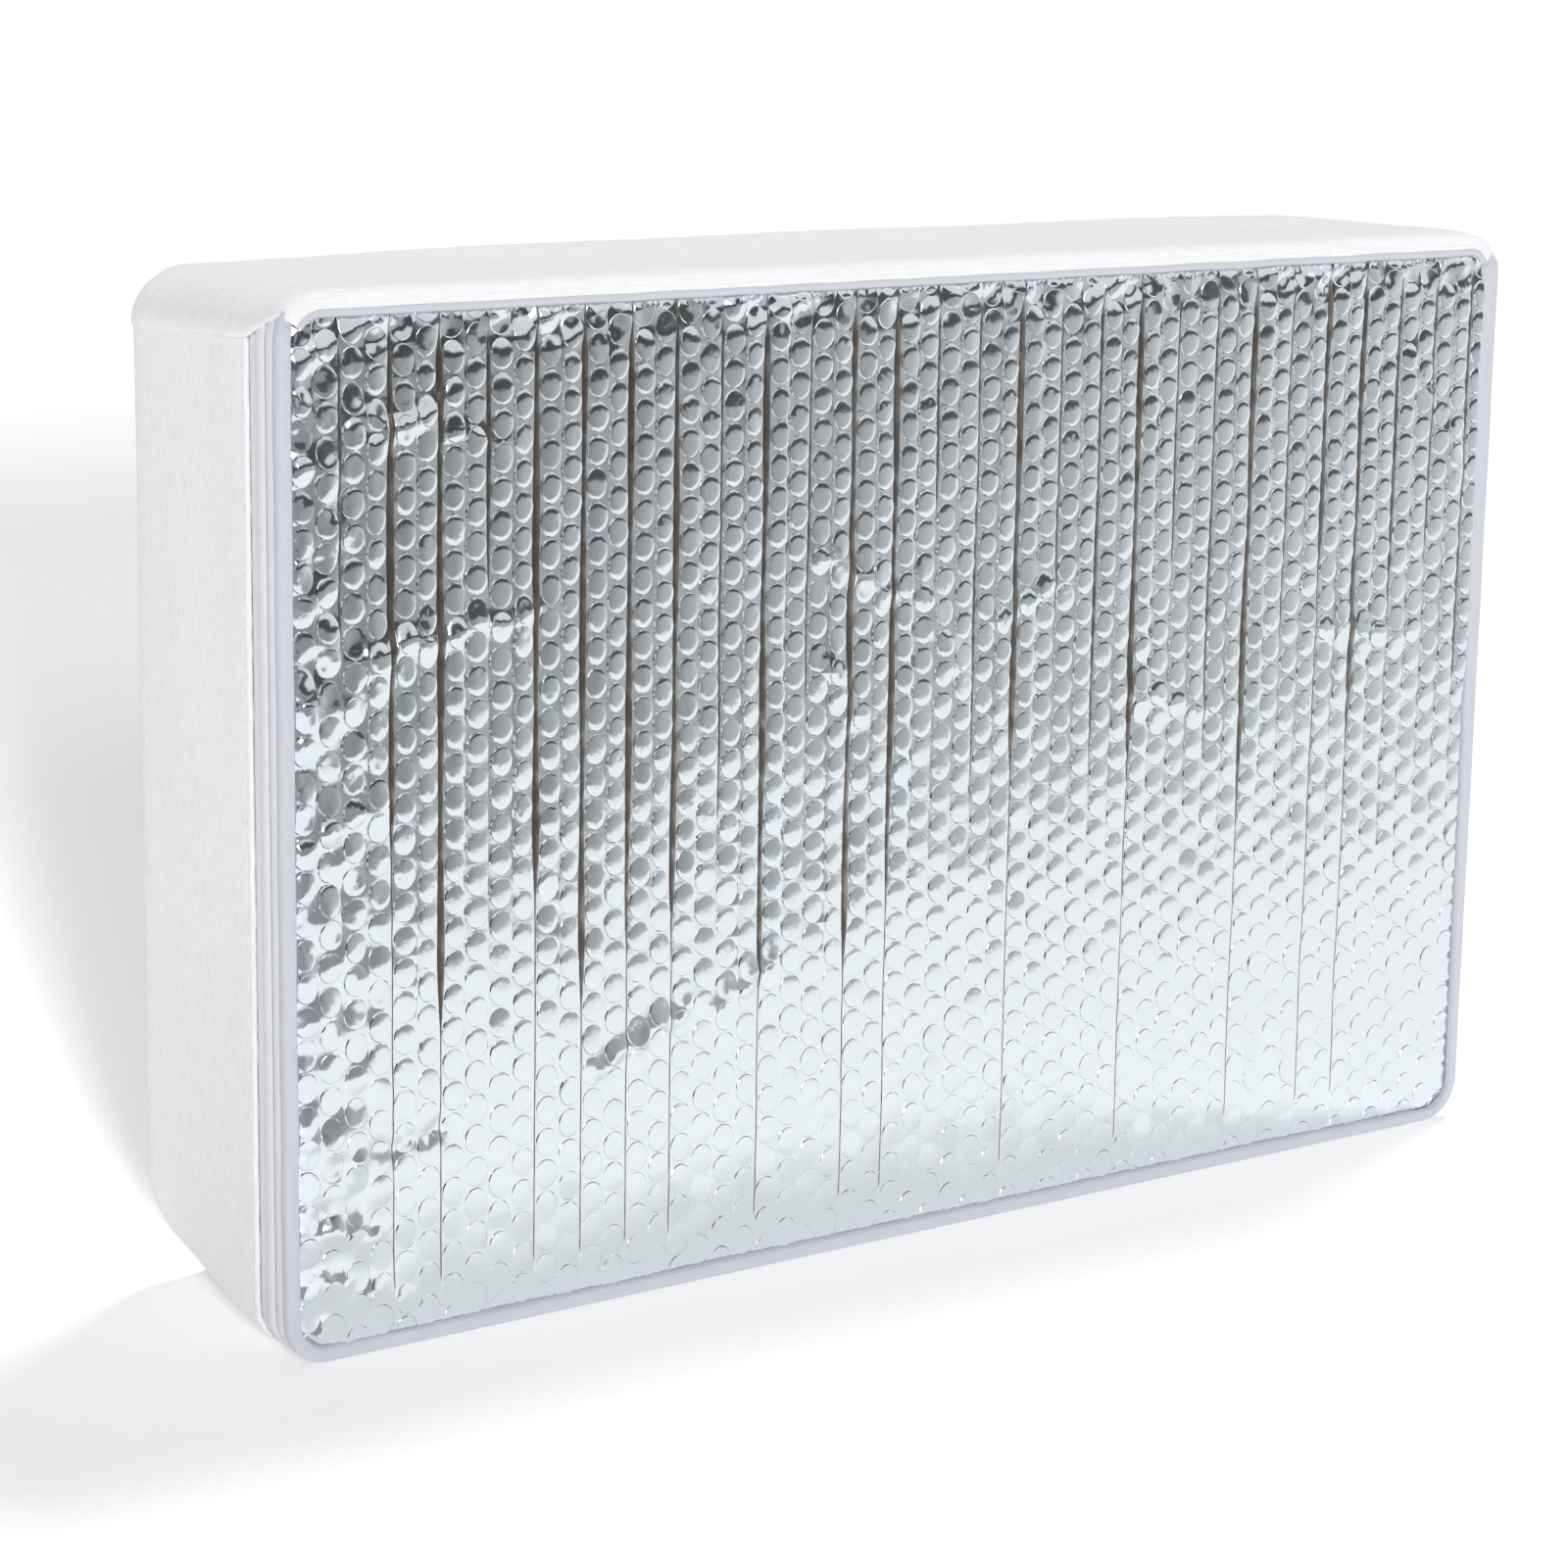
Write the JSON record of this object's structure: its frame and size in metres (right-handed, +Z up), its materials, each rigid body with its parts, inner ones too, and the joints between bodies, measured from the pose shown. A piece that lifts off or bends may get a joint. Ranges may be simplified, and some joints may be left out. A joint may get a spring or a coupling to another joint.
{
  "type": "foam insulating pad",
  "caption": "Thick box-shaped foam pad in a zipped white fabric cover with a reflective bubble-foil face.",
  "frame": {"origin": "middle of the flat bottom, on the long edge that the pad stands on", "axes": "+Z up, +X along the width towards the side where the slider is parked, the foil face looks to -Y and the back panel to +Y"},
  "size_m": [0.5422, 0.108, 0.36],
  "materials": {
    "foam": "open-cell polyurethane foam, matte",
    "foil": "metallised film over bubbles, mirror bright",
    "cover_fabric": "white brushed knit, matte",
    "border_fabric": "smooth white binding cloth",
    "zipper_tape": "white woven zipper tape",
    "zipper_coil": "white nylon",
    "slider_metal": "white enamel"
  },
  "bodies": {
    "pad": {"foam_core": "foam", "foil_bubble_panel": "foil", "back_panel": "cover_fabric", "top_gusset": "cover_fabric", "zip_gusset_rear": "cover_fabric", "front_border": "border_fabric", "zipper_tape_front": "zipper_tape", "zipper_tape_rear": "zipper_tape", "zipper_coil_front": "zipper_coil", "zipper_coil_rear": "zipper_coil", "top_stop_front": "zipper_coil", "top_stop_rear": "zipper_coil", "bottom_stop": "zipper_coil"},
    "slider": {"slider_body": "slider_metal"},
    "pull": {"slider_pull": "slider_metal"}
  },
  "joints": [
    {"name": "slider_travel", "type": "slide", "parent": "pad", "child": "slider", "axis": [0, 0, -1], "range_m": [0, 0.28], "deforming": ["zipper_tape_front", "zipper_tape_rear", "zipper_coil_front", "zipper_coil_rear"]},
    {"name": "pull_swing", "type": "hinge", "parent": "slider", "child": "pull", "pos_m": [0.27035, -0.0438, 0.32625], "axis": [0, -1, 0], "range_deg": [0, 170]}
  ]
}
